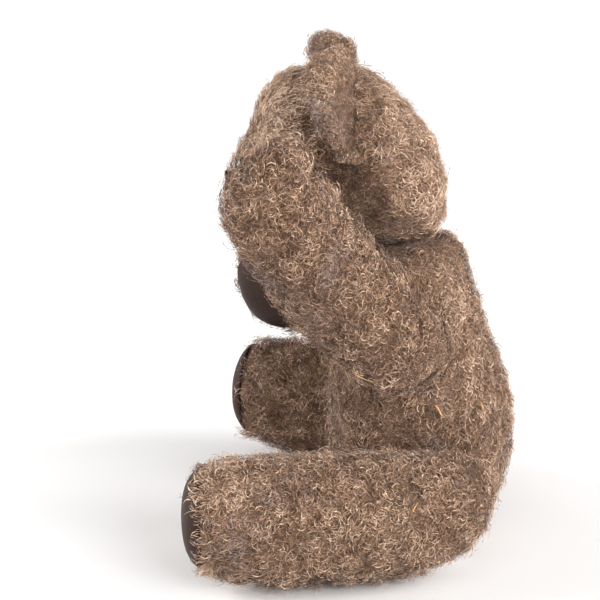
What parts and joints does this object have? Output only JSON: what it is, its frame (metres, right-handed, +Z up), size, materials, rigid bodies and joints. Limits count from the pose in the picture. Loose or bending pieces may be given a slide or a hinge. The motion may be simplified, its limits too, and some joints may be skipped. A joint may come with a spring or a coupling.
{
  "type": "jointed teddy bear",
  "caption": "Sitting stuffed bear in worn curly wool pile with leather pads; head, arms and legs turn on disc joints, one arm raised.",
  "frame": {"origin": "middle of the flat underside of the seat, on the surface that the bear sits on", "axes": "+Z up; the bear faces -Y; its own left side is +X"},
  "size_m": [0.2245, 0.1533, 0.2467],
  "materials": {
    "worn_wool_pile": "curly wool pile, matted and worn thin, greyed with dust",
    "dark_leather": "smooth dark brown, rubbed at the edges",
    "hardboard": "raw pressed fibre",
    "plated_steel": "zinc plated",
    "black_glass": "polished black",
    "black_thread": "worn embroidery thread"
  },
  "bodies": {
    "torso_body": {"torso": "worn_wool_pile", "neck_disc_inner": "hardboard", "neck_washer_inner": "plated_steel", "shoulder_left_disc_inner": "hardboard", "shoulder_left_washer_inner": "plated_steel", "hip_left_disc_inner": "hardboard", "hip_left_washer_inner": "plated_steel", "shoulder_right_disc_inner": "hardboard", "shoulder_right_washer_inner": "plated_steel", "hip_right_disc_inner": "hardboard", "hip_right_washer_inner": "plated_steel"},
    "head_body": {"head": "worn_wool_pile", "ear_left": "worn_wool_pile", "ear_right": "worn_wool_pile", "eye_left": "black_glass", "eye_right": "black_glass", "nose_stitching": "black_thread", "lip_stitch": "black_thread", "mouth_stitch": "black_thread", "neck_disc_outer": "hardboard", "neck_washer_outer": "plated_steel", "neck_bolt": "plated_steel", "neck_nut": "plated_steel"},
    "arm_left_body": {"arm_left": "worn_wool_pile", "paw_pad_left": "dark_leather", "shoulder_left_disc_outer": "hardboard", "shoulder_left_washer_outer": "plated_steel", "shoulder_left_bolt": "plated_steel", "shoulder_left_nut": "plated_steel"},
    "leg_left_body": {"leg_left": "worn_wool_pile", "foot_pad_left": "dark_leather", "hip_left_disc_outer": "hardboard", "hip_left_washer_outer": "plated_steel", "hip_left_bolt": "plated_steel", "hip_left_nut": "plated_steel"},
    "arm_right_body": {"arm_right": "worn_wool_pile", "paw_pad_right": "dark_leather", "shoulder_right_disc_outer": "hardboard", "shoulder_right_washer_outer": "plated_steel", "shoulder_right_bolt": "plated_steel", "shoulder_right_nut": "plated_steel"},
    "leg_right_body": {"leg_right": "worn_wool_pile", "foot_pad_right": "dark_leather", "hip_right_disc_outer": "hardboard", "hip_right_washer_outer": "plated_steel", "hip_right_bolt": "plated_steel", "hip_right_nut": "plated_steel"}
  },
  "joints": [
    {"name": "neck", "type": "hinge", "parent": "torso_body", "child": "head_body", "pos_m": [0, -0.013, 0.151], "axis": [-0.0609, -0.0698, 0.9957], "range_deg": [-80, 20]},
    {"name": "shoulder_left", "type": "hinge", "parent": "torso_body", "child": "arm_left_body", "pos_m": [0.036, -0.0105, 0.1165], "axis": [-0.9744, -0.225, 0], "range_deg": [-60, 120]},
    {"name": "hip_left", "type": "hinge", "parent": "torso_body", "child": "leg_left_body", "pos_m": [0.041, 0.004, 0.0315], "axis": [-0.9816, -0.1908, 0], "range_deg": [-110, 35]},
    {"name": "shoulder_right", "type": "hinge", "parent": "torso_body", "child": "arm_right_body", "pos_m": [-0.036, -0.0105, 0.1165], "axis": [-0.9744, 0.225, 0], "range_deg": [-2, 170]},
    {"name": "hip_right", "type": "hinge", "parent": "torso_body", "child": "leg_right_body", "pos_m": [-0.041, 0.004, 0.0315], "axis": [-0.9816, 0.1908, 0], "range_deg": [-110, 1]}
  ]
}
